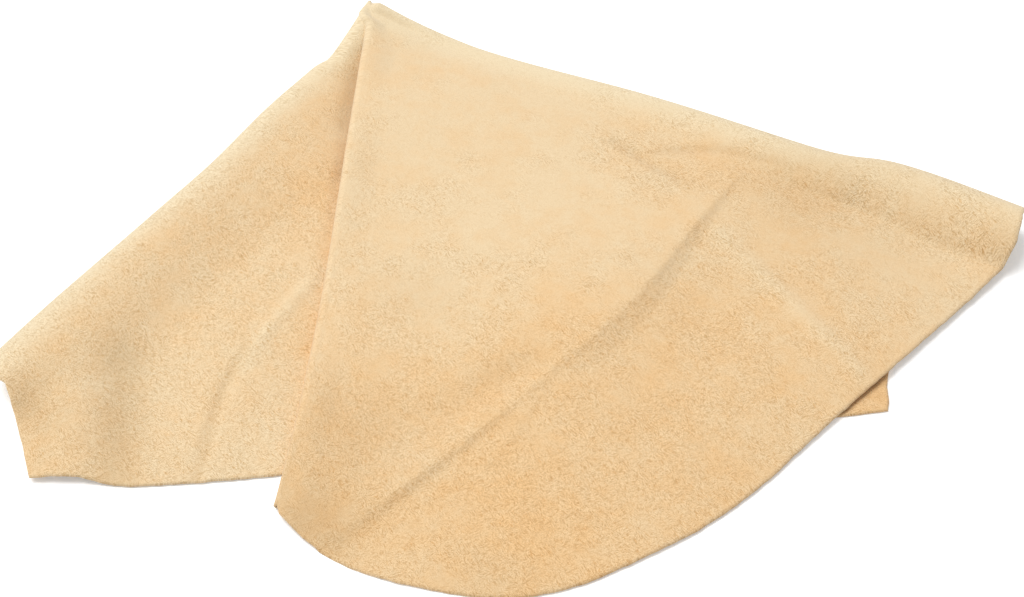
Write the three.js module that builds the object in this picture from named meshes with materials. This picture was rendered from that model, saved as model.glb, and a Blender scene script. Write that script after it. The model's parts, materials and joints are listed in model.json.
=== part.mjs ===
// A chamois leather: one soft skin, folded as a fan from the middle of its top edge.
// Its folds all run from that top corner, so every part of the skin is a sector seen from there.
// Units are millimetres, +Z is up, and the skin lies on the plane z = 0.
import * as THREE from "three";

// The three folds: lengths from the top corner, and directions in degrees from +X
const RIGHT_FOLD_LENGTH = 330;
const RIGHT_FOLD_ANGLE = -25.5;
const PLEAT_FOLD_LENGTH = 306;
const PLEAT_FOLD_ANGLE = -94.8;
const LEFT_FOLD_LENGTH = 268;
const LEFT_FOLD_ANGLE = -123.6;

// The hidden margins, in degrees from the fold that turns them under
const TUCK_WIDTH_ANGLE = 18;
const TURN_UNDER_WIDTH_ANGLE = 13;
const STRIP_RAMP_ANGLE = 5; // past the turned-under strip the base panel comes down to the table

// The leather
const LEATHER_THICKNESS = 1.2;
const LAYER_GAP = 0.4; // air between two layers that lie on each other
const SEAM_GAP = 0.3; // slit between a fold and the panel beside it
const CORNER_RADIUS = 10; // where the panels start, measured from the top corner
const TUCK_START = 40; // where the hidden tuck and the turned-under strip start

// Each fold is a roll that opens from the top corner to its far end
const RIGHT_ROLL_NEAR = 2.8;
const RIGHT_ROLL_FAR = 9.6;
const RIGHT_ROLL_FALL_RATIO = 1.3; // width of the roll's inner slope, in roll radii
const LEFT_ROLL_NEAR = 1.8;
const LEFT_ROLL_FAR = 6.8;
const LEFT_ROLL_WIDTH_RATIO = 1.8; // the left roll is flattened: wider than it is high
const LEFT_SLOPE = 44; // width of its inner slope at the far end
const PLEAT_LOOSENESS_NEAR = 0.2; // roll radius beyond the leather's thickness
const PLEAT_LOOSENESS_FAR = 0.6;

// The front flap's drape
const PLATEAU_LIFT = 7.5; // height of the upper part above the layers under it
const PLATEAU_RAMP = 150; // the flap rises to that height over this distance from its cut edge
const PLATEAU_START = 90; // and over this distance from the top corner
const CREASE_SHARE = 0.35; // share of that height lost across the crease
const CREASE_WIDTH = 10;
const CREASE_RECOVERY = 70;
const PLEAT_SHOULDER = 18; // width over which the flap rises to its pleat
const OVERHANG_RAMP = 35; // the flap comes down to the table past the base panel's edge

// Cut edges as smooth curves through points between two folds. Each point has a turn, from 0 at the first
// fold to 1 at the second, and a reach: its distance from the top corner, in lengths of the folds beside it.
const FRONT_EDGE_SHARES = [
  [[0, 1], [0.066, 1.014], [0.227, 1.008], [0.418, 1.038], [0.573, 1.1], [0.705, 1.143], [0.82, 1.134],
    [0.895, 1.103], [0.95, 1.065], [1, 1]],
];
const BASE_EDGE_SHARES = [
  [[0, 0.985], [0.08, 0.963], [0.16, 0.985], [0.2, 1.022], [0.226, 1.071]],
  [[0.226, 1.071], [0.472, 0.956], [0.71, 1.008], [0.833, 1.102], [0.904, 1.167]],
  [[0.904, 1.167], [0.942, 1.092], [0.968, 1.059], [1, 1]],
];
const TUCK_EDGE_SHARES = [
  [[0, 1], [0.34, 0.967], [0.77, 0.866], [1, 0.818]],
];
const TURN_UNDER_EDGE_SHARES = [
  [[0, 1], [0.6, 0.968], [1, 0.92]],
];
const CREASE_TOP_SHARES = [0.137, 0.64];
const CREASE_FOOT_SHARES = [0.943, 1.054];

// Mesh density
const ROLL_STEPS = 6;
const PANEL_STEPS = 28;
const BASE_STEPS = 30;
const NARROW_STEPS = 6;
const LENGTH_STEPS = 16;
const TANGENT_STEP = 0.002; // share of a surface over which its slope is measured
const EDGE_STEPS = 60; // points that follow each stretch of a cut edge
const EDGE_ROUNDS = 6; // rounds in which a panel's columns settle on its cut edge

const LEATHER_COLOUR = 0xeed3a6;
const HIDDEN_COLOUR = 0xe6c796;

const { degToRad, lerp, smoothstep, clamp } = THREE.MathUtils;
const rightFold = degToRad(RIGHT_FOLD_ANGLE);
const pleatFold = degToRad(PLEAT_FOLD_ANGLE);
const leftFold = degToRad(LEFT_FOLD_ANGLE);
const tuckEnd = pleatFold + degToRad(TUCK_WIDTH_ANGLE);
const turnUnderEnd = leftFold + degToRad(TURN_UNDER_WIDTH_ANGLE);
const stripRampEnd = turnUnderEnd + degToRad(STRIP_RAMP_ANGLE);
const quarterTurn = Math.PI / 2;

// A sector of the skin between two directions, with the skin's length along each
const frontSector = [rightFold, pleatFold, RIGHT_FOLD_LENGTH, PLEAT_FOLD_LENGTH];
const baseSector = [rightFold, leftFold, RIGHT_FOLD_LENGTH, LEFT_FOLD_LENGTH];
const tuckSector = [pleatFold, tuckEnd, PLEAT_FOLD_LENGTH, PLEAT_FOLD_LENGTH];
const turnUnderSector = [leftFold, turnUnderEnd, LEFT_FOLD_LENGTH, LEFT_FOLD_LENGTH];

// Middle height of a layer on the table, of one that lies on it and of one on both
const firstLayer = LEATHER_THICKNESS / 2;
const secondLayer = firstLayer + LEATHER_THICKNESS + LAYER_GAP;
const thirdLayer = secondLayer + LEATHER_THICKNESS + LAYER_GAP;

// Middle radius of each roll at a distance from the top corner
function rightRoll(r) {
  return lerp(RIGHT_ROLL_NEAR, RIGHT_ROLL_FAR, r / RIGHT_FOLD_LENGTH);
}

function leftRoll(r) {
  return lerp(LEFT_ROLL_NEAR, LEFT_ROLL_FAR, r / LEFT_FOLD_LENGTH);
}

// How far the left roll reaches in from its outer line
function leftReach(r) {
  return LEFT_ROLL_WIDTH_RATIO * leftRoll(r);
}

function pleatRoll(r) {
  const looseness = lerp(PLEAT_LOOSENESS_NEAR, PLEAT_LOOSENESS_FAR, r / PLEAT_FOLD_LENGTH);
  return LEATHER_THICKNESS + looseness;
}

// One at the start of a slope, zero at its foot
function fall(share) {
  return 1 - smoothstep(share, 0, 1);
}

// A point of a sector, from its turn and reach, seen from above
function sectorPoint([turn, reach], [from, to, fromLength, toLength]) {
  const angle = lerp(from, to, turn);
  const r = reach * lerp(fromLength, toLength, turn);
  return new THREE.Vector2(r * Math.cos(angle), r * Math.sin(angle));
}

// A cut edge as a distance from the top corner in each direction
function edgeDistance(stretches, sector) {
  const marks = [];
  for (const stretch of stretches) {
    const curve = new THREE.SplineCurve(stretch.map((point) => sectorPoint(point, sector)));
    for (const p of curve.getPoints(EDGE_STEPS)) {
      marks.push({ angle: Math.atan2(p.y, p.x), r: p.length() });
    }
  }
  marks.sort((a, b) => b.angle - a.angle);
  return (angle) => {
    const next = marks.findIndex((m) => m.angle <= angle);
    if (next === 0) return marks[0].r;
    if (next < 0) return marks.at(-1).r;
    const [a, b] = [marks[next - 1], marks[next]];
    return lerp(a.r, b.r, (a.angle - angle) / Math.max(a.angle - b.angle, 1e-9));
  };
}

const frontEdge = edgeDistance(FRONT_EDGE_SHARES, frontSector);
const baseEdge = edgeDistance(BASE_EDGE_SHARES, baseSector);
const tuckEdge = edgeDistance(TUCK_EDGE_SHARES, tuckSector);
const turnUnderEdge = edgeDistance(TURN_UNDER_EDGE_SHARES, turnUnderSector);
const creaseTop = sectorPoint(CREASE_TOP_SHARES, frontSector);
const creaseWay = sectorPoint(CREASE_FOOT_SHARES, frontSector).sub(creaseTop).normalize();

// Direction in which a point lies that is a given way inside a fold line
function insideRight(r, depth) {
  return rightFold - Math.asin(clamp(depth / r, -1, 1));
}

function insidePleat(r, depth) {
  return pleatFold + Math.asin(clamp(depth / r, -1, 1));
}

function insideLeft(r, depth) {
  return leftFold + Math.asin(clamp(depth / r, -1, 1));
}

function place(angle, r, z) {
  return new THREE.Vector3(r * Math.cos(angle), r * Math.sin(angle), z);
}

// Middle height of the front flap: a plateau, the crease, the right roll's slope and the pleat's shoulder
function frontHeight(angle, r) {
  const supported = Math.max(baseEdge(angle), tuckEdge(angle));
  const bottom = lerp(thirdLayer, firstLayer, smoothstep(r - supported, 0, OVERHANG_RAMP));
  const rise = smoothstep(frontEdge(angle) - r, 0, PLATEAU_RAMP) * smoothstep(r, 0, PLATEAU_START);
  const spot = new THREE.Vector2(r * Math.cos(angle), r * Math.sin(angle));
  const pastCrease = -spot.sub(creaseTop).cross(creaseWay);
  const lost = CREASE_SHARE * smoothstep(pastCrease, 0, CREASE_WIDTH) * fall(pastCrease / CREASE_RECOVERY);
  let z = bottom + PLATEAU_LIFT * rise * (1 - lost);
  const roll = rightRoll(r);
  const pastRight = r * Math.sin(rightFold - angle);
  z = lerp(z, 2 * roll, fall((pastRight - roll) / (RIGHT_ROLL_FALL_RATIO * roll)));
  const pastPleat = r * Math.sin(angle - pleatFold) - pleatRoll(r);
  return lerp(z, secondLayer + 2 * pleatRoll(r), fall(pastPleat / PLEAT_SHOULDER));
}

// Middle height of the base panel: flat on the table, raised over the turned-under strip and up its left roll
function baseHeight(angle, r) {
  const offStrip = smoothstep(angle, turnUnderEnd, stripRampEnd);
  const z = lerp(secondLayer, firstLayer, offStrip);
  const pastLeft = r * Math.sin(angle - leftFold) - leftReach(r);
  const slope = LEFT_SLOPE * Math.min(r / LEFT_FOLD_LENGTH, 1);
  return lerp(z, 2 * leftRoll(r), fall(pastLeft / slope));
}

// A closed slab of leather round a middle surface, given as surface(across, along) with both from 0 to 1
function leatherSlab(surface, across, along) {
  const alongShares = evenly(along);
  const rows = alongShares.length;
  const upper = [];
  const lower = [];
  for (const s of across) {
    for (const v of alongShares) {
      const outward = surface(s, v + TANGENT_STEP).sub(surface(s, v - TANGENT_STEP));
      const sideways = surface(s + TANGENT_STEP, v).sub(surface(s - TANGENT_STEP, v));
      const offset = outward.cross(sideways).setLength(LEATHER_THICKNESS / 2);
      upper.push(surface(s, v).add(offset));
      lower.push(surface(s, v).sub(offset));
    }
  }
  const under = upper.length;
  const at = (i, j) => i * rows + j;
  const faces = [];
  const quad = (a, b, c, d) => faces.push(a, b, c, a, c, d);
  const lastColumn = across.length - 1;
  const lastRow = rows - 1;
  for (let i = 0; i < lastColumn; i++) {
    for (let j = 0; j < lastRow; j++) {
      quad(at(i, j), at(i, j + 1), at(i + 1, j + 1), at(i + 1, j));
      quad(under + at(i, j), under + at(i + 1, j), under + at(i + 1, j + 1), under + at(i, j + 1));
    }
    quad(at(i, 0), at(i + 1, 0), under + at(i + 1, 0), under + at(i, 0));
    quad(at(i, lastRow), under + at(i, lastRow), under + at(i + 1, lastRow), at(i + 1, lastRow));
  }
  for (let j = 0; j < lastRow; j++) {
    quad(at(0, j), under + at(0, j), under + at(0, j + 1), at(0, j + 1));
    quad(at(lastColumn, j), at(lastColumn, j + 1), under + at(lastColumn, j + 1), under + at(lastColumn, j));
  }
  const geometry = new THREE.BufferGeometry().setFromPoints([...upper, ...lower]);
  geometry.setIndex(faces);
  geometry.computeVertexNormals();
  return geometry;
}

function evenly(steps) {
  return Array.from({ length: steps + 1 }, (_, i) => i / steps);
}

// A panel between two folds as a surface. Its sides, from and to, are directions at each distance.
function panel(from, to, edge, height) {
  return (s, v) => {
    let reach = RIGHT_FOLD_LENGTH;
    for (let round = 0; round < EDGE_ROUNDS; round++) {
      reach = edge(lerp(from(reach), to(reach), s));
    }
    const r = lerp(CORNER_RADIUS, reach, v);
    const angle = lerp(from(r), to(r), s);
    return place(angle, r, height(angle, r));
  };
}

// Even shares of a panel, with the nearest ones moved onto the corners of its cut edge
function evenlyWithCorners(steps, from, to, stretches, sector) {
  const shares = evenly(steps);
  for (const stretch of stretches.slice(1)) {
    const corner = sectorPoint(stretch[0], sector);
    const r = corner.length();
    const share = (Math.atan2(corner.y, corner.x) - from(r)) / (to(r) - from(r));
    shares[Math.round(share * steps)] = share;
  }
  return shares;
}

// A quarter of a roll from its outer line, with half a seam left at both ends
function quarterRoll(radius, share) {
  const slit = SEAM_GAP / 2 / radius;
  const turn = lerp(slit, quarterTurn - slit, share);
  return { depth: radius * (1 - Math.cos(turn)), rise: radius * Math.sin(turn) };
}

const halfSeam = SEAM_GAP / 2;
const group = new THREE.Group();

function addLeather(name, surface, across, along, colour) {
  const material = new THREE.MeshStandardMaterial({ color: colour, roughness: 0.95, metalness: 0 });
  const mesh = new THREE.Mesh(leatherSlab(surface, across, along), material);
  mesh.name = name;
  group.add(mesh);
}

// The front flap with the upper halves of its two folds
addLeather("right_fold_upper", (s, v) => {
  const r = lerp(CORNER_RADIUS, RIGHT_FOLD_LENGTH, v);
  const { depth, rise } = quarterRoll(rightRoll(r), 1 - s);
  return place(insideRight(r, depth), r, rightRoll(r) + rise);
}, evenly(ROLL_STEPS), LENGTH_STEPS, LEATHER_COLOUR);

const pleatTop = (r) => insidePleat(r, pleatRoll(r) + halfSeam);
const rightTop = (r) => insideRight(r, rightRoll(r) + halfSeam);
addLeather("front_flap", panel(pleatTop, rightTop, frontEdge, frontHeight), evenly(PANEL_STEPS), LENGTH_STEPS,
  LEATHER_COLOUR);

addLeather("pleat_fold_upper", (s, v) => {
  const r = lerp(CORNER_RADIUS, frontEdge(pleatFold), v);
  const { depth, rise } = quarterRoll(pleatRoll(r), s);
  return place(insidePleat(r, depth), r, secondLayer + pleatRoll(r) + rise);
}, evenly(ROLL_STEPS), LENGTH_STEPS, LEATHER_COLOUR);

// The tuck, turned under the front flap along the pleat
addLeather("pleat_fold_lower", (s, v) => {
  const r = lerp(TUCK_START, tuckEdge(pleatFold), v);
  const { depth, rise } = quarterRoll(pleatRoll(r), s);
  return place(insidePleat(r, depth), r, secondLayer + pleatRoll(r) - rise);
}, evenly(ROLL_STEPS), LENGTH_STEPS, HIDDEN_COLOUR);

addLeather("tuck_panel", (s, v) => {
  const r = lerp(TUCK_START, tuckEdge(lerp(pleatFold, tuckEnd, s)), v);
  const angle = lerp(insidePleat(r, pleatRoll(r) + halfSeam), tuckEnd, s);
  return place(angle, r, secondLayer);
}, evenly(NARROW_STEPS), LENGTH_STEPS, HIDDEN_COLOUR);

// The base panel, the lower half of the right fold and the upper half of the left fold
addLeather("right_fold_lower", (s, v) => {
  const r = lerp(CORNER_RADIUS, lerp(baseEdge(rightFold), RIGHT_FOLD_LENGTH, s), v);
  const { depth, rise } = quarterRoll(rightRoll(r) - firstLayer, 1 - s);
  return place(insideRight(r, depth), r, rightRoll(r) - rise);
}, evenly(ROLL_STEPS), LENGTH_STEPS, LEATHER_COLOUR);

const leftTop = (r) => insideLeft(r, leftReach(r) + halfSeam);
const rightFoot = (r) => insideRight(r, rightRoll(r) - firstLayer + halfSeam);
const baseShares = evenlyWithCorners(BASE_STEPS, leftTop, rightFoot, BASE_EDGE_SHARES, baseSector);
addLeather("base_panel", panel(leftTop, rightFoot, baseEdge, baseHeight), baseShares, LENGTH_STEPS,
  LEATHER_COLOUR);

addLeather("left_fold_upper", (s, v) => {
  const topEnd = baseEdge(leftTop(LEFT_FOLD_LENGTH));
  const r = lerp(CORNER_RADIUS, lerp(LEFT_FOLD_LENGTH, topEnd, s), v);
  const { depth, rise } = quarterRoll(leftRoll(r), s);
  return place(insideLeft(r, depth * LEFT_ROLL_WIDTH_RATIO), r, leftRoll(r) + rise);
}, evenly(ROLL_STEPS), LENGTH_STEPS, LEATHER_COLOUR);

// The strip along the left fold that is turned under the base panel
addLeather("left_fold_lower", (s, v) => {
  const r = lerp(TUCK_START, turnUnderEdge(leftFold), v);
  const { depth, rise } = quarterRoll(leftRoll(r) - firstLayer, s);
  return place(insideLeft(r, depth * LEFT_ROLL_WIDTH_RATIO), r, leftRoll(r) - rise);
}, evenly(ROLL_STEPS), LENGTH_STEPS, HIDDEN_COLOUR);

addLeather("turned_under_strip", (s, v) => {
  const r = lerp(TUCK_START, turnUnderEdge(lerp(leftFold, turnUnderEnd, s)), v);
  const foot = insideLeft(r, LEFT_ROLL_WIDTH_RATIO * (leftRoll(r) - firstLayer) + halfSeam);
  const angle = lerp(foot, turnUnderEnd, s);
  return place(angle, r, firstLayer);
}, evenly(NARROW_STEPS), LENGTH_STEPS, HIDDEN_COLOUR);

// The part's origin is under the middle of its bounding box, on the table
const box = new THREE.Box3().setFromObject(group, true);
const middle = box.getCenter(new THREE.Vector3());
group.position.set(-middle.x, -middle.y, -box.min.z);

export default group;
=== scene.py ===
import json
import math

import bpy
import numpy as np
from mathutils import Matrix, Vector, noise


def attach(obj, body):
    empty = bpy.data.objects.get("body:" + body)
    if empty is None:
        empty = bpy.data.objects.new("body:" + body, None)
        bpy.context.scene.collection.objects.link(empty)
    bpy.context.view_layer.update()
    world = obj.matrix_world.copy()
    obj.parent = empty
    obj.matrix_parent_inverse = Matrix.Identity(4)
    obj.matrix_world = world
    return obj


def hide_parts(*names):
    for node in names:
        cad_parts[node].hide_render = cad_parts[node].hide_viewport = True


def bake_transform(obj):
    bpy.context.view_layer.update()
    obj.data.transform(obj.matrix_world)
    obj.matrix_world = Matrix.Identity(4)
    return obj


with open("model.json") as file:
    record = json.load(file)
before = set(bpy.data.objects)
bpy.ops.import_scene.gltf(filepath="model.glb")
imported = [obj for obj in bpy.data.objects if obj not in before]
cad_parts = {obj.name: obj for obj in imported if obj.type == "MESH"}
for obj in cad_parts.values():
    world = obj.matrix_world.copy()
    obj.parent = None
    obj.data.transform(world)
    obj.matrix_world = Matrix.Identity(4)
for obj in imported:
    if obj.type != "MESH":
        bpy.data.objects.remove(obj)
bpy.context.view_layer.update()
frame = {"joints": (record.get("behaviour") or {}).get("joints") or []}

# Lengths are millimetres in the fan's own frame, whose origin is the skin's top corner on the table
MM = 0.001
JOINTS = {joint["name"]: joint for joint in frame["joints"]}
TOP_CORNER = np.array(JOINTS["front_flap_fold"]["pos_m"][:2] + [0.0])

# The leather
THICKNESS = 1.2
LAYER_GAP = 0.4
EDGE_ROUNDING = 0.35

# Directions of the folds, from +X, and how wide the two hidden margins are
RIGHT_FOLD = math.radians(-25.5)
PLEAT_FOLD = math.radians(-94.2)
PLEAT_SWERVE = math.radians(-1.2)  # the pleat turns a little to the left at its lower end
PLEAT_SWERVE_POWER = 4
LEFT_FOLD = math.radians(-123.8)
TUCK_WIDTH = math.radians(18)
TURN_UNDER_WIDTH = math.radians(13)

# Lengths of the folds from the top corner
PLEAT_LENGTH = 306
RIGHT_END = 326
LEFT_END = 262

# How far the folds stray from straight lines: distance from the top corner, and degrees
RIGHT_WAVER = [(0, 0.6), (40, 0.3), (72, -0.8), (140, 0.4), (232, -0.4), (270, 0.8), (330, -0.2)]
LEFT_WAVER = [
    (0, 4), (20, 4), (37, 4), (47, -0.4), (75, -1.2), (120, 0.2), (165, -0.05), (230, -0.4), (277, -0.3),
]

# Rolls: radius near the top corner and at the far end, length between, and slope of the pointed start
RIGHT_ROLL = (3, 10, 330, 0.5)
LEFT_ROLL = (2.6, 6.6, 277, 0.25)
LEFT_ROLL_WIDENING = 2  # the left roll is flattened: wider than it is high
LEFT_REACH_SLOPE = 0.3  # its width starts in a point too

# The pleat's roll, which is pinched at its lower end
PLEAT_RADIUS = 2.6
PLEAT_PINCH = 0.4
PLEAT_PINCH_START = 245
PLEAT_TIP_SLOPE = 0.2
PLEAT_OPENS = (8, 17)  # above this stretch the front flap reaches just past the left fold
PLEAT_OVERLAP = 0.03

# Where the right roll comes down to the front flap: distance from the top corner, and from the fold's line
RIGHT_ROLL_FOOT = [
    (0, 0), (60, 16), (130, 25), (182, 29), (203, 26), (230, 24), (256, 28), (296, 33), (331, 30),
]
RIGHT_BULGE_STARTS = (170, 250)  # past this stretch the roll bulges before it comes down
RIGHT_BULGE = 2.1

# How wide the slope is on which the left roll comes down to the left flap
LEFT_SLOPE_START = 10
LEFT_SLOPE_GROWTH = 0.33
LEFT_SLOPE_MOST = 44
LEFT_SLOPE_TIP = 0.41
LEFT_SLOPE_NARROWS = (240, 285)
LEFT_SLOPE_END = 0.5
LEFT_BULGE_ENDS = (90, 150)  # up to this stretch the roll bulges before it comes down
LEFT_BULGE = 1.6

# How wide the slope is on which the front flap comes to the pleat
PLEAT_SLOPE_MOST = 14
PLEAT_SLOPE_TIP = 0.4

# The top corner lifts off the table, and each sheet starts at a small share of its length from that corner
TIP_LIFT = 12.5
TIP_LIFT_REACH = 60
TIP_LIFT_POWER = 1.9
TIP_START = 0.003
TUCK_START = 0.1
STRIP_START = 0.14

# The tuck rises off the base panel, settles on it further out, and sinks past that panel's edge
TUCK_LIFT = 5.6
TUCK_RISES = (15, 50)
TUCK_SETTLES = (90, 200)
TUCK_SINKS = (-4, 16)
TUCK_OFF_TABLE = 0.3

# The base panel takes up its drape over this distance past the pleat, and is flat under the front flap
BASE_SHOWS = (-2, 8)

# Cut edges as points from the top corner, each stretch a smooth curve
FRONT_EDGE = [
    [(294.6, -151.5), (291.7, -161), (288, -167), (269, -188), (249, -209.6), (227.5, -232.9),
     (206.5, -254.7), (192.2, -270.1), (169.2, -295.3), (144.5, -316.5), (118, -333), (95, -345),
     (71, -351), (45, -349), (12.5, -340), (-10, -327), (-25.5, -311), (-29, -305)],
]
BASE_EDGE = [
    [(280, -143), (262, -172), (238, -208), (229, -231), (228, -247)],
    [(228, -247), (226, -251), (214, -253.4), (90, -273), (-26, -287), (-60, -291), (-91, -293),
     (-110, -290.4), (-131, -290)],
    [(-131, -290), (-137.3, -268.3), (-141, -257), (-145, -246.5)],
]
TUCK_EDGE = [[(56, -244), (40, -262), (5, -296), (-29, -305)]]
TURN_UNDER_EDGE = [[(-80, -226), (-108, -225), (-138, -212)]]

# Small waves in each cut edge: how many there are to a full turn, and their height
EDGE_WAVES = (90, 140, 210, 330)
EDGE_WAVE_HEIGHT = 0.07
EDGE_WAVE_STARTS = 6.3  # their phases are drawn from 0 to this, in radians
EDGE_SEED = 5

# Heights of the front flap's middle surface at chosen places (x, y, z)
FRONT_DRAPE = [
    (8, -14, 5), (0, -60, 12.6), (20, -95, 11.4), (-2, -120, 10.4), (-6, -180, 8.4), (-12, -240, 6.6),
    (-20, -288, 5.6), (40, -60, 11.3), (40, -130, 9.8), (40, -200, 8.3), (22, -248, 4.6), (8, -274, 2.8),
    (30, -276, 3.6), (80, -80, 10.8), (90, -150, 11), (85, -205, 11), (120, -110, 11), (125, -150, 11.8),
    (169, -120, 11), (150, -150, 12), (127, -188, 12), (104, -216, 11), (85, -234, 9), (62, -258, 6.6),
    (27, -292, 4.2), (-6, -309, 1.1), (-8, -322, 0.9), (150, -200, 8), (120, -245, 7), (90, -275, 5.6),
    (50, -310, 3.4), (15, -330, 2), (190, -170, 8), (200, -215, 5.6), (160, -260, 4), (120, -300, 3),
    (70, -335, 1.6), (232, -150, 6), (262, -167, 4.5), (230, -190, 4.8), (281, -172, 4.4), (289, -165, 3),
    (269, -188, 3), (249, -210, 3), (228, -233, 3.5), (206, -255, 2.7), (193, -271, 1.7), (145, -317, 1),
    (95, -345, 0.9), (45, -349, 0.9), (0, -334, 1), (-24, -310, 2.8),
]
# The same for the part of the base panel that shows at the left
BASE_DRAPE = [
    (-3, -40, 0.8), (-6, -80, 1.2), (-12, -112, 2.4), (-12, -150, 1), (-12, -190, 0.7),
    (-17, -219, 0.6), (-26, -288, 0.6), (-22, -58, 2.2), (-39, -92, 2.2), (-59, -139, 2.2),
    (-91, -180, 2.6), (-106, -208, 3.4), (-88, -206, 1.6), (-120, -247, 8), (-110, -247, 6.6),
    (-97, -247, 2.6), (-88, -247, 1), (-130, -252, 7), (-142, -253, 6), (-138, -267, 5.5),
    (-118, -268, 7.2), (-112, -268, 6.4), (-102, -269, 3.6), (-94, -269, 1.4), (-88, -269, 0.8),
    (-131, -290, 2.6), (-117, -289, 4), (-111, -289, 3.6), (-104, -289, 2.2), (-98, -290, 1),
    (-90, -290, 0.7), (-68, -188, 1.8), (-44, -160, 2), (-24, -180, 1.6), (-35, -197, 1.7),
    (-44, -213, 1.7), (-50, -232, 1.8), (-22, -210, 1.4), (-30, -232, 1.3), (-30, -252, 0.8),
    (-40, -285, 0.7), (-65, -287, 0.8), (-58, -256, 1.6),
]
# Gentle bumps all over: their size, their height, and the layer of the noise that they come from
FRONT_BUMPS = [(46, 0.35, 1.5), (15, 0.16, 4.5)]
BASE_BUMPS = [(40, 0.4, 7.5), (14, 0.14, 9.5)]

# Grooves along lines on the skin: the line's points, and the depths and widths along it. A ridge is below 0
SOFT_VALLEY = (
    [(12, -272), (34, -258), (55, -246), (72, -236), (89, -229)],
    [0, 1, 2, 2, 0], [9, 9],
)
ROLL_VALLEY = (
    [(131, -104), (148, -101), (167, -103), (188, -111), (206, -120)],
    [0, 1, 1.2, 1, 0.3], [2.5, 2.5],
)
ROLL_WRINKLE = (
    [(115, -95), (126, -105), (137, -115), (147, -124)],
    [0.2, 0.8, 0.8, 0], [3, 4],
)
SOFT_RIDGE = (
    [(161, -155), (173, -171), (185, -187), (201, -210), (217, -232)],
    [-0.4, -0.9, -0.9, -0.9, -0.5], [5, 5],
)
LEFT_RIDGE = (
    [(-14, -168), (-21, -178), (-31, -194), (-40, -211), (-47, -230)],
    [0, -0.9, -1, -0.9, 0], [3.5, 3.5],
)
LEFT_GROOVE = (
    [(-46, -214), (-50, -226), (-54, -240), (-57, -256), (-62, -288)],
    [0, 1, 1.3, 1.1, 0.5], [2.5, 3],
)
# The crease, past which the skin drops on the left of the line's travel and slowly rises again
CREASE = (
    [(171, -120), (152, -150), (128, -189), (106, -217), (87, -235), (65, -259), (29, -293), (-7, -324)],
    [0, 1.3, 2.1, 2, 0.1, 0.6, 1.7, 1.2], [2.5, 4, 7, 9, 5, 2.6, 3.4, 6],
)
CREASE_RECOVERY = 45
CREASE_LIP = [0.4, 0.6, 0.7, 0.7, 0.8, 0.9, 0.7, 0.4]  # the skin rises to the crease before it drops
CREASE_LIP_REACH = 9

# Colours of the leather where it is cream and where it is peach, and the painted sheen on the crests of
# rolls and ridges
CREAM = (0.781, 0.596, 0.366)
PEACH = (0.78, 0.499, 0.238)
PAINTED_SHEEN_COLOUR = (0.796, 0.655, 0.435)
# Tints: the gaps between the fibres (their own darker colour, partly painted shade), long hairlines, the
# fibre tops (partly painted highlight), painted shade in creases and hollows, and the two ends of the grain
GAP_TONE_AND_SHADE = (0.822, 0.763, 0.667)
HAIRLINE = (0.9, 0.81, 0.685)
FIBRE_TONE_AND_HIGHLIGHT = (1.06, 1.085, 1.125)
PAINTED_SHADE_TINT = (0.79, 0.745, 0.67)
DARK_GRAIN = (0.9, 0.878, 0.835)
LIGHT_GRAIN = (1.087, 1.11, 1.145)
NO_TINT = (1, 1, 1)

# Patches on the skin (x, y, radius, value): first how peach it is
FRONT_PEACH = [
    (80, -310, 80, 0.85), (150, -235, 65, 0.75), (0, -265, 45, 0.6), (60, -105, 95, 0.06),
    (45, -50, 35, 0.18), (0, -150, 30, 0.05), (165, -118, 26, 0.6), (195, -133, 28, 0.5),
    (225, -95, 40, 0.1), (275, -120, 35, 0.1), (95, -215, 25, 0.65), (195, -268, 22, 0.45),
    (125, -322, 22, 0.4), (255, -150, 30, 0.1),
]
# Beside the pleat, the patches at x from -12 to -20 are partly the leather's peach and partly painted warm
# bounce light in the crevice
BASE_PEACH = [
    (-12, -112, 24, 0.75), (-60, -270, 60, 0.12), (228, -245, 30, 1), (-14, -150, 12, 0.6),
    (-20, -215, 12, 0.6),
]
PLAIN_PEACH = 0.35
# How rough the nap is
FRONT_ROUGH = [
    (60, -60, 70, -0.12), (90, -140, 60, -0.05), (80, -310, 80, 0.25), (150, -240, 60, 0.2),
    (0, -270, 40, 0.25), (121, -99, 13, 0.3), (145, -115, 18, 0.3),
]
BASE_ROUGH = [(-10, -60, 40, 0.05)]
PLAIN_ROUGH = 0.1
BASE_PLAIN_ROUGH = 0.22
# How dark the painted shade is, at patches where hollows and slopes facing away from the light would be in
# shade
FRONT_PAINTED_SHADE = [
    (-12, -313, 23, 0.75), (2, -271, 28, 0.3), (200, -128, 24, 0.35), (25, -190, 18, 0.2),
    (60, -347, 20, 0.25), (238, -152, 26, 0.2),
]
BASE_PAINTED_SHADE = [(-133, -258, 13, 0.6)]
# Lines of painted shade along creases, grooves and the crevice beside the pleat: the points, the width and
# the value
FRONT_PAINTED_SHADE_LINES = [
    (ROLL_WRINKLE[0], 3.5, 0.32), (ROLL_VALLEY[0], 2.5, 0.35),
    (CREASE[0][:3], 1.5, 0.25), (CREASE[0][5:], 1.6, 0.2),
    ([(87, -237), (77, -257), (68, -275), (58, -287)], 2, 0.22),
    ([(78, -226), (60, -240), (40, -258), (28, -266)], 8, 0.2),
]
BASE_PAINTED_SHADE_LINES = [
    (LEFT_GROOVE[0], 2.5, 0.35),
    ([(-99, -222), (-97, -255), (-95, -288)], 10, 0.55),
    ([(-6, -30), (-9, -55), (-11, -76)], 4, 0.45),
]
# Lines of painted sheen along ridges, in the same way
FRONT_SHEEN_LINES = [(SOFT_RIDGE[0], 5, 0.4)]
BASE_SHEEN_LINES = [(LEFT_RIDGE[0], 4, 0.4)]

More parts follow.
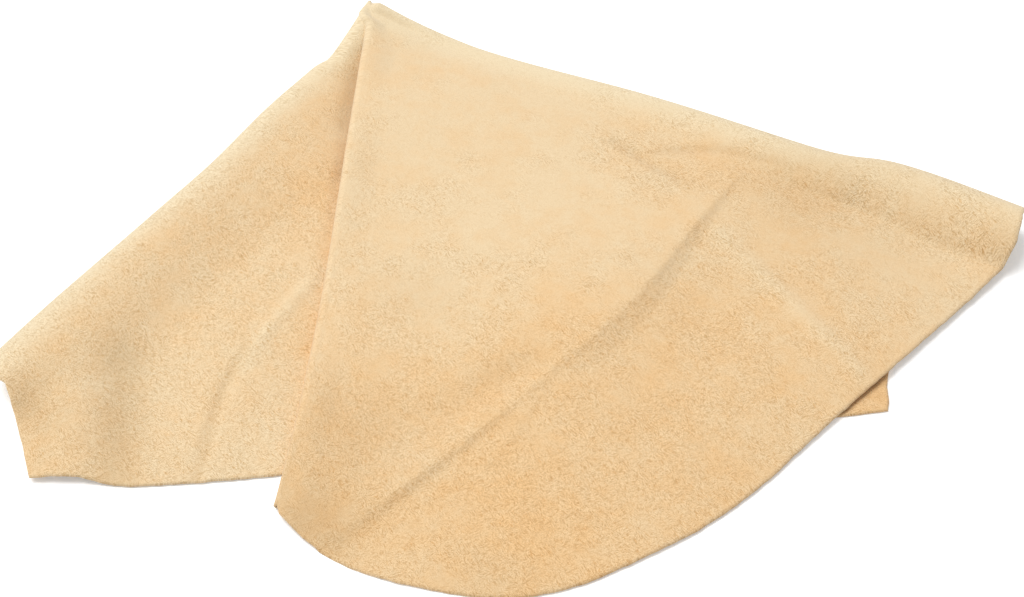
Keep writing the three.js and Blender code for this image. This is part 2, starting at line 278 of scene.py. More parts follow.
# Bands of painted sheen along the rolls: the right one weakens along its fold, the left one narrows and then
# widens
RIGHT_PALE_BAND = (3, 24)
RIGHT_PALE_WEAKENS = (220, 260)
RIGHT_PALE_END = 0.75
LEFT_PALE_START = 2
LEFT_PALE_WIDTHS = (20, 15)
LEFT_PALE_NARROWS = (120, 180)
LEFT_PALE_WIDENS = (200, 260)
LEFT_PALE_WIDENING = 9

# Clouds of colour: how many there are to a metre, and how far they move the colour
CLOUDS = [(22.0, 0.14), (95.0, 0.14), (230.0, 0.06)]
CLOUD_RANGE = (0.3, 0.7)
CLOUD_DETAIL = 2.0
CLOUD_ROUGHNESS = 0.55

# The nap's fibres: how many there are to a metre, how far they are drawn out, and the two ways they lie
FIBRE_COUNT = 2300.0
FIBRE_STRETCH = 5.0
FIBRE_WAYS = (0.7, -1.1)
FIBRE_GAPS = (0.27, 0.5, 1.0, 0.0)
FIBRE_TOPS = (0.52, 0.72)
WAY_COUNT = 160.0
WAY_RANGE = (0.45, 0.55)
BEND_COUNT = 200.0
BEND = 0.003
# The hairlines among them
HAIRLINE_COUNT = 2600.0
HAIRLINE_STRETCH = 11.0
HAIRLINE_RANGE = (0.25, 0.36, 1.0, 0.0)
# The grain and the fluff of the nap
GRAIN_COUNT = 1900.0
GRAIN_RANGE = (0.3, 0.7, -0.5, 0.5)
GRAIN_MIDDLE = 0.5
GRAIN_IN_RELIEF = 0.5
FLUFF_COUNT = 1000.0
FLUFF_RANGE = (0.25, 0.75)
# Patches where all that is weaker or stronger
PATCH_COUNT = 40.0
PATCH_DETAIL = 3.0
GRAIN_PATCHES = (0.35, 0.85, 0.3, 1.0)
FIBRE_PATCHES = (0.42, 0.75, 0.25, 1.0)
RELIEF_STRENGTH = 0.3
RELIEF_HEIGHT = 0.0004
LEATHER_FINISH = {"Roughness": 0.95, "Specular IOR Level": 0.1, "Sheen Weight": 0.3, "Sheen Roughness": 0.6}

# Mesh density
ROLL_COLUMNS = 14
PLEAT_COLUMNS = 8
FRONT_COLUMNS = 210
FRONT_ROWS = 200
BASE_HIDDEN_COLUMNS = 70
BASE_SHOWN_COLUMNS = 120
NARROW_COLUMNS = 16
CORNER_COLUMNS = [-0.9, -0.6, -0.4, -0.2, 0, 0.2, 0.5]  # degrees from each corner of the base panel
CORNER_CLEARANCE = 0.5  # share of a column's width that stays free beside those
# A panel's reach is found in steps from a first guess
FIRST_REACH = 300.0
REACH_STEPS = 8
# Places on a smooth curve from each of its points to the next
CURVE_STEPS = 24
LINE_STEPS = 6

# The floor and the sky, each with one value for the light and one for the camera, and the lamp, in metres
FLOOR_SIZE = 5
FLOOR_HEIGHT = -0.0002
FLOOR_PAINT = (0.85, 1.0)
FLOOR_GLOW = (0.0, 0.25)
FLOOR_ROUGHNESS = 0.9
SKY_STRENGTH = (0.46, 1.0)
WHITE = (1, 1, 1, 1)
SOFTBOX_SIZE = 3
SOFTBOX_POWER = 138
SOFTBOX_PLACE = (-1.5, 0.6, 3.5)

# The camera, which looks at a place on the skin
CAMERA_TARGET = (68.3, -184.8)
CAMERA_ELEVATION = math.radians(46)
CAMERA_DISTANCE = 1.25
CAMERA_LENS = 100
CAMERA_SENSOR = 36


def level(layers_below):
    """Middle height of a layer that lies flat on others."""
    return THICKNESS / 2 + layers_below * (THICKNESS + LAYER_GAP)


def mix(a, b, share):
    """The first value where the share is 0, the second where it is 1."""
    return a + (b - a) * share


def smooth(x, low, high):
    """A soft rise from 0 to 1 between two values."""
    t = np.clip((x - low) / (high - low), 0, 1)
    return t * t * (3 - 2 * t)


def fall(share):
    """A soft fall from 1 to 0 as the share goes from 0 to 1."""
    return 1 - smooth(share, 0, 1)


def smooth_curve(points, steps=CURVE_STEPS):
    """A curve through the points, as many places on it."""
    p = np.array(points, float)
    padded = np.vstack([2 * p[0] - p[1], p, 2 * p[-1] - p[-2]])
    t = np.linspace(0, 1, steps, endpoint=False)[:, None]
    parts = []
    for a, b, c, d in zip(padded, padded[1:], padded[2:], padded[3:]):
        square = (a - 2.5 * b + 2 * c - d / 2) * t**2
        cube = (1.5 * (b - c) + (d - a) / 2) * t**3
        parts.append(b + (c - a) / 2 * t + square + cube)
    return np.vstack([*parts, p[-1:]])


def edge_distance(stretches):
    """A cut edge as its distance from the top corner in each direction."""
    places = np.vstack([smooth_curve(stretch) for stretch in stretches])
    angles = np.arctan2(places[:, 1], places[:, 0])
    order = np.argsort(angles)
    distances = np.hypot(places[:, 0], places[:, 1])
    rng = np.random.default_rng(EDGE_SEED)
    waves = [(cycles, rng.uniform(0, EDGE_WAVE_STARTS)) for cycles in EDGE_WAVES]

    def distance(angle):
        uneven = sum(EDGE_WAVE_HEIGHT * np.sin(cycles * angle + phase) for cycles, phase in waves)
        return np.interp(angle, angles[order], distances[order]) + uneven

    return distance


front_edge = edge_distance(FRONT_EDGE)
base_edge = edge_distance(BASE_EDGE)
tuck_edge = edge_distance(TUCK_EDGE)
turn_under_edge = edge_distance(TURN_UNDER_EDGE)


def along_fold(pairs):
    """A number at each distance from the top corner, from a smooth curve through some of them."""
    track = smooth_curve(pairs)
    return lambda r: np.interp(r, track[:, 0], track[:, 1])


right_waver = along_fold(RIGHT_WAVER)
left_waver = along_fold(LEFT_WAVER)
right_roll_foot = along_fold(RIGHT_ROLL_FOOT)


def roll_radius(roll, r):
    near, far, length, tip_slope = roll
    return np.minimum(mix(near, far, r / length), tip_slope * r)


def right_roll(r):
    return roll_radius(RIGHT_ROLL, r)


def left_roll(r):
    return roll_radius(LEFT_ROLL, r)


def pleat_radius(r):
    loose = PLEAT_RADIUS * mix(1, PLEAT_PINCH, smooth(r, PLEAT_PINCH_START, PLEAT_LENGTH))
    return np.minimum(loose, PLEAT_TIP_SLOPE * r)


def right_angle(r):
    return RIGHT_FOLD + np.radians(right_waver(r))


def left_angle(r):
    return LEFT_FOLD + np.radians(left_waver(r))


def pleat_angle(r):
    """The pleat opens a little below the top corner: above that the front flap reaches to the left fold."""
    opened = PLEAT_FOLD + PLEAT_SWERVE * (r / PLEAT_LENGTH) ** PLEAT_SWERVE_POWER
    return mix(left_angle(r) - PLEAT_OVERLAP, opened, smooth(r, *PLEAT_OPENS))


def left_reach(r):
    """How far the left roll reaches in from its outer line."""
    return np.minimum(LEFT_ROLL_WIDENING * left_roll(r), LEFT_REACH_SLOPE * r)


def right_underside(r):
    """How far the right roll goes down from its middle: to the table, or half of its radius near its tip."""
    return np.maximum(right_roll(r) - level(0), right_roll(r) / 2)


def left_underside(r):
    """How far the left roll goes down from its middle."""
    return left_roll(r) - level(0)


def tuck_level(angle, r):
    """Middle height of the tuck: off the base panel near the top corner, lower past that panel's edge."""
    off = TUCK_LIFT * smooth(r, *TUCK_RISES) * (1 - smooth(r, *TUCK_SETTLES))
    return mix(level(1), level(0) + TUCK_OFF_TABLE, smooth(r - base_edge(angle), *TUCK_SINKS)) + off


def tip_lift(r):
    return TIP_LIFT * np.maximum(1 - r / TIP_LIFT_REACH, 0) ** TIP_LIFT_POWER


def drape(points):
    """The smoothest surface through heights at chosen places."""
    p = np.array(points, float)
    places, heights = p[:, :2], p[:, 2]

    def kernel(d):
        return d * d * np.log(np.maximum(d, 1e-6))

    count = len(p)
    gaps = np.linalg.norm(places[:, None] - places[None], axis=2)
    plane = np.hstack([np.ones((count, 1)), places])
    system = np.block([[kernel(gaps), plane], [plane.T, np.zeros((3, 3))]])
    weights = np.linalg.solve(system, np.concatenate([heights, np.zeros(3)]))

    def height(x, y):
        z = weights[count] + weights[count + 1] * x + weights[count + 2] * y
        for (px, py), weight in zip(places, weights):
            z = z + weight * kernel(np.hypot(x - px, y - py))
        return z

    return height


front_drape = drape(FRONT_DRAPE)
base_drape = drape(BASE_DRAPE)


def beside(line, x, y):
    """Distance from each place to a line, + on the left of its travel, and the share of the line there."""
    track = smooth_curve(line, LINE_STEPS)
    lengths = np.linalg.norm(np.diff(track, axis=0), axis=1)
    starts = np.concatenate([[0], np.cumsum(lengths)])
    nearest = np.full(x.shape, np.inf)
    signed = np.zeros(x.shape)
    share = np.zeros(x.shape)
    for a, b, length, start in zip(track, track[1:], lengths, starts):
        along = (b - a) / length
        dx, dy = x - a[0], y - a[1]
        t = np.clip(dx * along[0] + dy * along[1], 0, length)
        ox, oy = dx - t * along[0], dy - t * along[1]
        distance = np.hypot(ox, oy)
        closer = distance < nearest
        side = np.where(along[0] * oy - along[1] * ox > 0, 1.0, -1.0)
        nearest = np.where(closer, distance, nearest)
        signed = np.where(closer, distance * side, signed)
        share = np.where(closer, (start + t) / starts[-1], share)
    return signed, share


def at_share(values, share):
    return np.interp(share, np.linspace(0, 1, len(values)), values)


def groove(feature, x, y):
    """Depth of a soft groove along a line."""
    line, depths, widths = feature
    away, share = beside(line, x, y)
    return at_share(depths, share) * np.exp(-((away / at_share(widths, share)) ** 2))


def drop(feature, x, y):
    """How far the skin drops past a crease, less its rise to the lip before it."""
    line, depths, widths = feature
    past, share = beside(line, x, y)
    step = np.clip(past / at_share(widths, share), 0, 1) * np.exp(-((past / CREASE_RECOVERY) ** 2))
    lip = at_share(CREASE_LIP, share) * np.exp(np.minimum(past, 0) / CREASE_LIP_REACH)
    return np.where(past > 0, at_share(depths, share) * step, np.where(past < 0, -lip, 0))


def unevenness(x, y, size, height, layer):
    """Gentle unevenness of the leather with bumps of about that size."""
    bumps = [noise.noise(Vector((px / size, py / size, layer))) for px, py in zip(x.ravel(), y.ravel())]
    return height * np.array(bumps).reshape(x.shape)


def front_height(angle, r):
    """Middle height of the front flap between its two rolls."""
    x, y = r * np.cos(angle), r * np.sin(angle)
    z = front_drape(x, y) - drop(CREASE, x, y)
    for line in (SOFT_VALLEY, ROLL_VALLEY, ROLL_WRINKLE, SOFT_RIDGE):
        z = z - groove(line, x, y)
    for bumps in FRONT_BUMPS:
        z = z + unevenness(x, y, *bumps)
    roll = right_roll(r)
    past_right = r * np.sin(right_angle(r) - angle)
    down = np.clip((past_right - roll) / (np.maximum(right_roll_foot(r), 2 * roll) - roll), 0, 1)
    z = mix(z, 2 * roll, mix(fall(down), 1 - down**RIGHT_BULGE, smooth(r, *RIGHT_BULGE_STARTS)))
    thick = pleat_radius(r)
    past_pleat = r * np.sin(angle - pleat_angle(r)) - thick
    crest = tuck_level(angle, r) + 2 * thick
    z = mix(z, crest, fall(past_pleat / np.minimum(PLEAT_SLOPE_MOST, PLEAT_SLOPE_TIP * r)))
    return z + tip_lift(r)


def base_height(angle, r):
    """Middle height of the base panel between its two rolls: flat where it is hidden."""
    x, y = r * np.cos(angle), r * np.sin(angle)
    z = base_drape(x, y) - groove(LEFT_RIDGE, x, y) - groove(LEFT_GROOVE, x, y)
    for bumps in BASE_BUMPS:
        z = z + unevenness(x, y, *bumps)
    shown = smooth(r * np.sin(pleat_angle(r) - angle), *BASE_SHOWS)
    z = level(0) + np.maximum(z - level(0), 0) * shown
    roll = left_roll(r)
    slope = np.minimum(LEFT_SLOPE_START + LEFT_SLOPE_GROWTH * r, LEFT_SLOPE_MOST)
    slope = np.minimum(slope, LEFT_SLOPE_TIP * r) * mix(1, LEFT_SLOPE_END, smooth(r, *LEFT_SLOPE_NARROWS))
    past_left = r * np.sin(angle - left_angle(r))
    down = np.clip((past_left - left_reach(r)) / slope, 0, 1)
    z = mix(z, 2 * roll, mix(1 - down**LEFT_BULGE, fall(down), smooth(r, *LEFT_BULGE_ENDS)))
    return z + tip_lift(r)


def inside(fold, r, depth, way):
    """Direction of a place that lies a given depth inside a fold line."""
    return fold + way * np.arcsin(np.clip(depth / r, -1, 1))


def place(angle, r, z):
    """A place from its direction, its distance from the top corner and its height."""
    return np.stack([r * np.cos(angle), r * np.sin(angle), z], axis=-1)


def quarter_turns(columns):
    return np.linspace(0, math.pi / 2, columns)[:, None]


def top_of_right_roll(r):
    return inside(right_angle(r), r, right_roll(r), -1)


def foot_of_right_roll(r):
    return inside(right_angle(r), r, right_underside(r), -1)


def top_of_pleat(r):
    return inside(pleat_angle(r), r, pleat_radius(r), 1)


def end_of_left_roll(r):
    return inside(left_angle(r), r, left_reach(r), 1)


def panel_reach(start, stop, edge, share):
    """Reach and direction of a panel's columns: each depends on the other, so they are found in steps."""
    reach = np.full(share.shape, FIRST_REACH)
    for _ in range(REACH_STEPS):
        angle = mix(start(reach), stop(reach), share)
        reach = edge(angle)
    return reach, angle


def panel_grid(start, stop, edge, share, v, height):
    """Middle surface of a panel between two folds, out to its cut edge."""
    reach, _ = panel_reach(start, stop, edge, share)
    r = v * reach
    angle = mix(start(r), stop(r), share)
    return place(angle, r, height(angle, r))


def pleat_grid(v, edge, turn, way):
    """Middle surface of half of the pleat's roll: the upper half with way 1, the lower one with -1."""
    r = v * edge(PLEAT_FOLD + PLEAT_SWERVE) + 0 * turn
    thick = pleat_radius(r)
    angle = inside(pleat_angle(r), r, thick * (1 - np.cos(turn)), 1)
    return place(angle, r, tuck_level(pleat_angle(r), r) + thick * (1 + way * np.sin(turn)) + tip_lift(r))


def right_roll_grid(v, edge, half, way):
    """Middle surface of half of the right roll, from its outer line inwards: up with way 1, down with -1."""
    turn = quarter_turns(ROLL_COLUMNS)
    r = v * mix(RIGHT_END, edge(RIGHT_FOLD), np.sin(turn))
    angle = inside(right_angle(r), r, half(r) * (1 - np.cos(turn)), -1)
    return place(angle, r, right_roll(r) + way * half(r) * np.sin(turn) + tip_lift(r))


def left_roll_grid(v, edge, half, way):
    """The same for the left roll, which is wider than it is high."""
    turn = quarter_turns(ROLL_COLUMNS)
    r = v * mix(LEFT_END, edge(LEFT_FOLD), np.sin(turn))
    angle = inside(left_angle(r), r, left_reach(r) * (1 - np.cos(turn)), 1)
    return place(angle, r, left_roll(r) + way * half(r) * np.sin(turn) + tip_lift(r))


def front_grid(rows):
    """Middle surface of the front flap from the right fold's outer line to the pleat's."""
    v = np.linspace(TIP_START, 1, rows)[None, :]
    right = right_roll_grid(v, front_edge, right_roll, 1)
    share = np.linspace(0, 1, FRONT_COLUMNS + 2)[1:-1, None]
    panel = panel_grid(top_of_right_roll, top_of_pleat, front_edge, share, v, front_height)
    pleat = pleat_grid(v, front_edge, quarter_turns(PLEAT_COLUMNS)[::-1], 1)
    return np.concatenate([right, panel, pleat])


def tuck_grid(rows):
    """Middle surface of the tuck from its cut side to the pleat's outer line."""
    v = np.linspace(TUCK_START, 1, rows)[None, :]
    pleat = pleat_grid(v, tuck_edge, quarter_turns(PLEAT_COLUMNS), -1)
    share = np.linspace(0, 1, NARROW_COLUMNS + 1)[1:, None]
    r = v * tuck_edge(PLEAT_FOLD + PLEAT_SWERVE + TUCK_WIDTH * share)
    angle = mix(top_of_pleat(r), PLEAT_FOLD + TUCK_WIDTH, share)
    return np.concatenate([pleat, place(angle, r, tuck_level(angle, r) + tip_lift(r))])[::-1]


def base_shares():
    """Columns of the base panel: close together where it shows and at its corners."""
    pleat_share = (RIGHT_FOLD - PLEAT_FOLD) / (RIGHT_FOLD - LEFT_FOLD)
    hidden = np.linspace(0, pleat_share, BASE_HIDDEN_COLUMNS, endpoint=False)[1:]
    shown = np.linspace(pleat_share, 1, BASE_SHOWN_COLUMNS + 2)[:-1]
    share = np.concatenate([hidden, shown])
    _, angle = panel_reach(foot_of_right_roll, end_of_left_roll, base_edge, share)
    near = np.radians(CORNER_COLUMNS)
    corners = [math.atan2(stretch[0][1], stretch[0][0]) + near for stretch in BASE_EDGE[1:]]
    extra = np.interp(-np.concatenate(corners), -angle, share)
    apart = np.abs(share[:, None] - extra).min(axis=1) > CORNER_CLEARANCE * (shown[1] - shown[0])
    return np.unique(np.concatenate([share[apart], extra]))[:, None]


def base_grid(rows):
    """Middle surface of the base panel from the right fold's outer line to the left fold's."""
    v = np.linspace(TIP_START, 1, rows)[None, :]
    right = right_roll_grid(v, base_edge, right_underside, -1)
    panel = panel_grid(foot_of_right_roll, end_of_left_roll, base_edge, base_shares(), v, base_height)
    left = left_roll_grid(v, base_edge, left_roll, 1)
    return np.concatenate([right, panel, left[::-1]])


def strip_grid(rows):
    """Middle surface of the turned-under strip from its cut side to the left fold's outer line."""
    v = np.linspace(STRIP_START, 1, rows)[None, :]
    turned = left_roll_grid(v, turn_under_edge, left_underside, -1)
    share = np.linspace(0, 1, NARROW_COLUMNS + 1)[1:, None]
    r = v * turn_under_edge(LEFT_FOLD + TURN_UNDER_WIDTH * share)
    angle = mix(end_of_left_roll(r), LEFT_FOLD + TURN_UNDER_WIDTH, share)
    return np.concatenate([turned, place(angle, r, level(0) + tip_lift(r))])[::-1]


def flat_places(grid):
    """Where each place of a folded surface lies once that surface is spread flat."""
    steps = np.linalg.norm(np.diff(grid, axis=1), axis=2)
    start = np.hypot(grid[:, :1, 0], grid[:, :1, 1])
    r = np.concatenate([start, start + np.cumsum(steps, axis=1)], axis=1)
    across = np.linalg.norm(np.diff(grid, axis=0), axis=2)
    middle = grid.shape[1] * 2 // 3  # the row along which widths are measured
    turns = across[:, middle] / ((r[1:, middle] + r[:-1, middle]) / 2)
    angles = np.concatenate([[0], np.cumsum(turns)])[:, None]
    return np.stack([r * np.cos(angles), r * np.sin(angles)], axis=-1)


def sheet_points(grid, rim, cut_side):
    """Points of a closed sheet: its upper side, its lower side, and the rounded middle of its border."""
    sideways = np.gradient(grid, axis=0)
    outward = np.gradient(grid, axis=1)
    normal = np.cross(outward, sideways)
    normal *= -1 / np.linalg.norm(normal, axis=2, keepdims=True)
    upper = grid + normal * THICKNESS / 2
    lower = grid - normal * THICKNESS / 2
    swell = np.zeros(grid.shape)
    swell[:, -1] = outward[:, -1]
    swell[:, 0] = -outward[:, 0]
    if cut_side:
        swell[0] = -sideways[0]
    size = np.linalg.norm(swell, axis=2, keepdims=True)
    swell = np.divide(swell, size, out=np.zeros_like(swell), where=size > 0) * EDGE_ROUNDING
    middle = (grid + swell).reshape(-1, 3)[rim]
    points = np.vstack([upper.reshape(-1, 3), lower.reshape(-1, 3), middle])
    points[:, 2] = np.maximum(points[:, 2], 0)  # nothing sinks into the table
    return points


def sheet_faces(ids, rim):
    """Faces of a closed sheet: its two sides, and the two bands round its border."""
    a, b, c, d = ids[:-1, :-1], ids[:-1, 1:], ids[1:, 1:], ids[1:, :-1]
    under = ids.size
    ring = np.arange(len(rim)) + 2 * under
    next_rim, next_ring = np.roll(rim, -1), np.roll(ring, -1)
    upper = np.stack([a, d, c, b], -1).reshape(-1, 4)
    lower = np.stack([a, b, c, d], -1).reshape(-1, 4) + under
    upper_band = np.stack([rim, ring, next_ring, next_rim], -1)
    lower_band = np.stack([ring, rim + under, next_rim + under, next_ring], -1)
    return np.vstack([upper, lower, upper_band, lower_band])


def leather_piece(name, grid, cut_side):
    """A closed sheet of leather round a middle surface. cut_side: its first column is a cut edge."""
    ids = np.arange(grid.shape[0] * grid.shape[1]).reshape(grid.shape[:2])
    rim = np.concatenate([ids[:, 0], ids[-1, 1:], ids[-2::-1, -1], ids[0, -2:0:-1]])
    points = sheet_points(grid, rim, cut_side)
    faces = sheet_faces(ids, rim)
    mesh = bpy.data.meshes.new(name)
    mesh.from_pydata((points * MM + TOP_CORNER).tolist(), [], faces.tolist())
    bands = 2 * len(rim)
    mesh.polygons.foreach_set("use_smooth", [True] * (len(faces) - bands) + [False] * bands)
    flat = flat_places(grid).reshape(-1, 2)
    flat_all = np.vstack([flat, flat, flat[rim]]) * MM
    corners = np.empty(len(mesh.loops), int)
    mesh.loops.foreach_get("vertex_index", corners)
    mesh.uv_layers.new(name="flat").data.foreach_set("uv", flat_all[corners].ravel())
    mesh.validate()
    piece = bpy.data.objects.new(name, mesh)
    bpy.context.scene.collection.objects.link(piece)
    return piece


def feed(tree, socket, value):
    """Set a node's input to a value, or link it to another node's output."""
    if isinstance(value, bpy.types.NodeSocket):
        tree.links.new(value, socket)
    else:
        socket.default_value = value


def node(tree, kind, **inputs):
    """A shader node with its inputs set or linked by name."""
    made = tree.nodes.new(kind)
    for name, value in inputs.items():
        feed(tree, made.inputs[name.replace("_", " ")], value)
    return made


def maths(tree, operation, first, second):
    made = tree.nodes.new("ShaderNodeMath")
    made.operation = operation
    feed(tree, made.inputs[0], first)
    feed(tree, made.inputs[1], second)
    return made.outputs[0]


def ramp(tree, value, low, high, to_low=0.0, to_high=1.0):
    """A value moved from one range to another and held inside it."""
    ends = {"From_Min": low, "From_Max": high, "To_Min": to_low, "To_Max": to_high}
    made = node(tree, "ShaderNodeMapRange", Value=value, **ends)
    made.interpolation_type = "SMOOTHSTEP"
    return made.outputs["Result"]


def either(tree, share, first, second):
    """The first value where the share is 0, the second where it is 1."""
    return maths(tree, "ADD", first, maths(tree, "MULTIPLY", share, maths(tree, "SUBTRACT", second, first)))


def tinted(tree, colour, share, tint_at_none, tint_at_full):
    """A colour multiplied by a tint that depends on a share."""
    shade = node(tree, "ShaderNodeMixRGB", Fac=share, Color1=(*tint_at_none, 1), Color2=(*tint_at_full, 1))
    made = node(tree, "ShaderNodeMixRGB", Fac=1.0, Color1=colour, Color2=shade.outputs["Color"])
    made.blend_type = "MULTIPLY"
    return made.outputs["Color"]


def painted(tree, name):
    """A number that the mesh holds at each of its points."""
    made = tree.nodes.new("ShaderNodeAttribute")
    made.attribute_name = name
    return made.outputs["Fac"]


def clouds(tree, skin, count, detail=CLOUD_DETAIL):
    """A soft noise on the skin."""
    look = {"Scale": count, "Detail": detail, "Roughness": CLOUD_ROUGHNESS}
    return node(tree, "ShaderNodeTexNoise", Vector=skin, **look)


def bent_skin(tree, skin):
    """Places on the skin, shifted a little this way and that, so that fibres bend."""
    made = tree.nodes.new("ShaderNodeVectorMath")
    made.operation = "MULTIPLY_ADD"
    feed(tree, made.inputs[0], clouds(tree, skin, BEND_COUNT, 1.0).outputs["Color"])
    feed(tree, made.inputs[1], (BEND, BEND, BEND))
    feed(tree, made.inputs[2], skin)
    return made.outputs["Vector"]


def strokes(tree, places, turn, count, stretch):
    """A fine noise drawn out one way."""
    laid = node(tree, "ShaderNodeMapping", Vector=places, Rotation=(0, 0, turn), Scale=(1, stretch, 1))
    laid.vector_type = "TEXTURE"
    made = node(tree, "ShaderNodeTexNoise", Vector=laid.outputs["Vector"], Scale=count, Detail=0.0)
    return made.outputs["Fac"]


def chamois():
    """Suede leather: clouds of cream and peach, a nap of short fibres, and a soft sheen."""
    material = bpy.data.materials.new("chamois")
    material.use_nodes = True
    tree = material.node_tree
    shader = tree.nodes["Principled BSDF"]
    flat = tree.nodes.new("ShaderNodeUVMap")
    flat.uv_map = "flat"
    skin = flat.outputs["UV"]

    blush = painted(tree, "peach")
    for count, amount in CLOUDS:
        cloud = clouds(tree, skin, count).outputs["Fac"]
        blush = maths(tree, "ADD", blush, ramp(tree, cloud, *CLOUD_RANGE, -amount, amount))
    tint = node(tree, "ShaderNodeValToRGB", Fac=blush)
    tint.color_ramp.elements[0].color = (*CREAM, 1)
    tint.color_ramp.elements[1].color = (*PEACH, 1)

    patch = clouds(tree, skin, PATCH_COUNT, PATCH_DETAIL).outputs["Fac"]
    rough = maths(tree, "ADD", patch, painted(tree, "rough"))
    grain_patches = ramp(tree, rough, *GRAIN_PATCHES)
    fibre_patches = ramp(tree, rough, *FIBRE_PATCHES)

    bent = bent_skin(tree, skin)
    way = ramp(tree, clouds(tree, skin, WAY_COUNT, 1.0).outputs["Fac"], *WAY_RANGE)
    laid = [strokes(tree, bent, turn, FIBRE_COUNT, FIBRE_STRETCH) for turn in FIBRE_WAYS]
    gaps = either(tree, way, *[ramp(tree, fibre, *FIBRE_GAPS) for fibre in laid])
    gaps = maths(tree, "MULTIPLY", gaps, fibre_patches)
    tops = either(tree, way, *[ramp(tree, fibre, *FIBRE_TOPS) for fibre in laid])
    tops = maths(tree, "MULTIPLY", tops, fibre_patches)
    hairlines = strokes(tree, bent, FIBRE_WAYS[1], HAIRLINE_COUNT, HAIRLINE_STRETCH)
    hairlines = maths(tree, "MULTIPLY", ramp(tree, hairlines, *HAIRLINE_RANGE), fibre_patches)
    grain = ramp(tree, clouds(tree, skin, GRAIN_COUNT, 0.0).outputs["Fac"], *GRAIN_RANGE)
    grain = maths(tree, "ADD", maths(tree, "MULTIPLY", grain, grain_patches), GRAIN_MIDDLE)

    # Painted sheen: paler where the crests of rolls and ridges would catch light at a grazing angle
    painted_sheen = painted(tree, "painted_sheen")
    pale = node(tree, "ShaderNodeMixRGB", Fac=painted_sheen, Color1=tint.outputs["Color"], Color2=(*PAINTED_SHEEN_COLOUR, 1))
    # Painted shade: darker where hollows, creases and the crevice beside the pleat would be shaded
    colour = tinted(tree, pale.outputs["Color"], painted(tree, "painted_shade"), NO_TINT, PAINTED_SHADE_TINT)
    colour = tinted(tree, colour, grain, DARK_GRAIN, LIGHT_GRAIN)
    # Fibre tops lighter and gaps darker: partly the nap's own colour, partly painted highlight and painted
    # shade for its relief
    colour = tinted(tree, colour, tops, NO_TINT, FIBRE_TONE_AND_HIGHLIGHT)
    colour = tinted(tree, colour, gaps, NO_TINT, GAP_TONE_AND_SHADE)
    colour = tinted(tree, colour, hairlines, NO_TINT, HAIRLINE)
    feed(tree, shader.inputs["Base Color"], colour)

    fluff = ramp(tree, clouds(tree, skin, FLUFF_COUNT, 1.0).outputs["Fac"], *FLUFF_RANGE)
    relief = maths(tree, "ADD", fluff, maths(tree, "MULTIPLY", grain, GRAIN_IN_RELIEF))
    relief = maths(tree, "SUBTRACT", maths(tree, "MULTIPLY", relief, grain_patches), gaps)
    bump = node(tree, "ShaderNodeBump", Strength=RELIEF_STRENGTH, Distance=RELIEF_HEIGHT, Height=relief)
    feed(tree, shader.inputs["Normal"], bump.outputs["Normal"])
    for name, value in LEATHER_FINISH.items():
        feed(tree, shader.inputs[name], value)
    return material


def patchy(points, patches, plain):
    """A number for each place: the plain one, drawn towards each patch's own (x, y, radius, number)."""
    value = np.full(len(points), plain)
    for x, y, radius, number in patches:
        near = np.exp(-((points[:, 0] - x) ** 2 + (points[:, 1] - y) ** 2) / radius**2)
        value = mix(value, number, near)
    return value


def along_lines(points, lines):
    """A number for each place that is highest along some lines (points, width, number)."""
    value = np.zeros(len(points))
    for line, width, number in lines:
        away, _ = beside(line, points[:, 0], points[:, 1])
        value = np.maximum(value, number * np.exp(-((away / width) ** 2)))
    return value


def sheen_near_rolls(points):
    """How strong the painted sheen is at each place near the crest of a roll."""
    angle, r = np.arctan2(points[:, 1], points[:, 0]), np.hypot(points[:, 0], points[:, 1])
    past_right = r * np.sin(right_angle(r) - angle)
    past_left = r * np.sin(angle - left_angle(r))
    on_right = 1 - smooth(past_right, *RIGHT_PALE_BAND)
    on_right = on_right * mix(1, RIGHT_PALE_END, smooth(r, *RIGHT_PALE_WEAKENS))
    left_width = mix(*LEFT_PALE_WIDTHS, smooth(r, *LEFT_PALE_NARROWS))
    left_width = left_width + LEFT_PALE_WIDENING * smooth(r, *LEFT_PALE_WIDENS)
    return np.maximum(on_right, 1 - smooth(past_left, LEFT_PALE_START, left_width))


def tone(piece, peach=(), rough=(), plain_rough=PLAIN_ROUGH, painted_shade=(), painted_shade_lines=(), sheen_lines=()):
    """Where a piece is peach, where its nap is rough, where painted shade lies, and where painted sheen lies
    on the crests of rolls and ridges.
    """
    points = (np.array([v.co for v in piece.data.vertices]) - TOP_CORNER) / MM
    values = {
        "peach": patchy(points, peach, PLAIN_PEACH),
        "rough": patchy(points, rough, plain_rough),
        "painted_shade": np.maximum(patchy(points, painted_shade, 0.0), along_lines(points, painted_shade_lines)),
        "painted_sheen": np.maximum(sheen_near_rolls(points), along_lines(points, sheen_lines)),
    }
    for name, numbers in values.items():
        layer = piece.data.attributes.new(name, "FLOAT", "POINT")
        layer.data.foreach_set("value", numbers)


def on_skin(x, y):
    """A place in the fan's frame as a point in metres on the table."""
    return Vector((x * MM, y * MM, 0)) + Vector(TOP_CORNER)


def declare(nodes):
    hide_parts(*nodes)


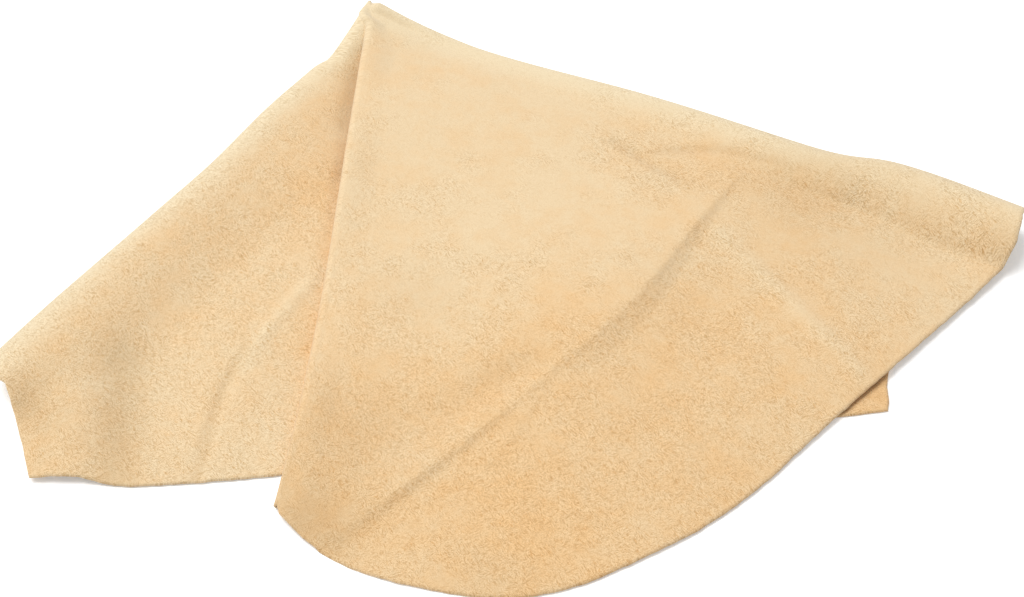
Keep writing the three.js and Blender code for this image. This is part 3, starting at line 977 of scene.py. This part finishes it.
leather = chamois()
front = leather_piece("front_leather", front_grid(FRONT_ROWS), False)
tuck = leather_piece("tuck_leather", tuck_grid(FRONT_ROWS // 2), True)
base = leather_piece("base_leather", base_grid(FRONT_ROWS), False)
strip = leather_piece("strip_leather", strip_grid(FRONT_ROWS // 2), True)
for piece in (front, tuck, base, strip):
    piece.data.materials.append(leather)
tone(front, FRONT_PEACH, FRONT_ROUGH, PLAIN_ROUGH, FRONT_PAINTED_SHADE, FRONT_PAINTED_SHADE_LINES, FRONT_SHEEN_LINES)
tone(tuck)
tone(base, BASE_PEACH, BASE_ROUGH, BASE_PLAIN_ROUGH, BASE_PAINTED_SHADE, BASE_PAINTED_SHADE_LINES, BASE_SHEEN_LINES)
tone(strip)
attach(base, "base")
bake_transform(front)
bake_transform(tuck)
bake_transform(strip)
declare(["front_flap", "right_fold_upper", "pleat_fold_upper"])
declare(["tuck_panel", "pleat_fold_lower"])
declare(["base_panel", "right_fold_lower", "left_fold_upper"])
declare(["turned_under_strip", "left_fold_lower"])


def by_camera(tree, values):
    """The first value for the light, the second for what the camera sees."""
    seen = tree.nodes.new("ShaderNodeLightPath").outputs["Is Camera Ray"]
    return ramp(tree, seen, 0.0, 1.0, *values)


def add_floor():
    bpy.ops.mesh.primitive_plane_add(size=FLOOR_SIZE, location=(0, 0, FLOOR_HEIGHT))
    floor = bpy.context.object
    floor.name = "floor"
    paint = bpy.data.materials.new("floor_white")
    paint.use_nodes = True
    tree = paint.node_tree
    inputs = tree.nodes["Principled BSDF"].inputs
    feed(tree, inputs["Base Color"], by_camera(tree, FLOOR_PAINT))
    feed(tree, inputs["Emission Color"], WHITE)
    feed(tree, inputs["Emission Strength"], by_camera(tree, FLOOR_GLOW))
    feed(tree, inputs["Roughness"], FLOOR_ROUGHNESS)
    feed(tree, inputs["Specular IOR Level"], 0.0)
    floor.data.materials.append(paint)


def add_sky():
    world = bpy.data.worlds.new("studio")
    world.use_nodes = True
    tree = world.node_tree
    sky = tree.nodes["Background"]
    feed(tree, sky.inputs["Color"], WHITE)
    feed(tree, sky.inputs["Strength"], by_camera(tree, SKY_STRENGTH))
    bpy.context.scene.world = world


def add_softbox():
    """A large soft lamp high above the skin, to its left and behind it."""
    lamp = bpy.data.lights.new("softbox", "AREA")
    lamp.size = SOFTBOX_SIZE
    lamp.energy = SOFTBOX_POWER
    box = bpy.data.objects.new("softbox", lamp)
    bpy.context.scene.collection.objects.link(box)
    box.location = SOFTBOX_PLACE
    box.rotation_euler = (-box.location).to_track_quat("-Z", "Y").to_euler()


def add_camera():
    lens = bpy.data.cameras.new("camera")
    lens.lens = CAMERA_LENS
    lens.sensor_width = CAMERA_SENSOR
    eye = bpy.data.objects.new("camera", lens)
    bpy.context.scene.collection.objects.link(eye)
    back = Vector((0, -math.cos(CAMERA_ELEVATION), math.sin(CAMERA_ELEVATION)))
    eye.location = on_skin(*CAMERA_TARGET) + back * CAMERA_DISTANCE
    eye.rotation_euler = (-back).to_track_quat("-Z", "Y").to_euler()
    bpy.context.scene.camera = eye


add_floor()
add_sky()
add_softbox()
add_camera()
bpy.context.scene.view_settings.view_transform = "Standard"
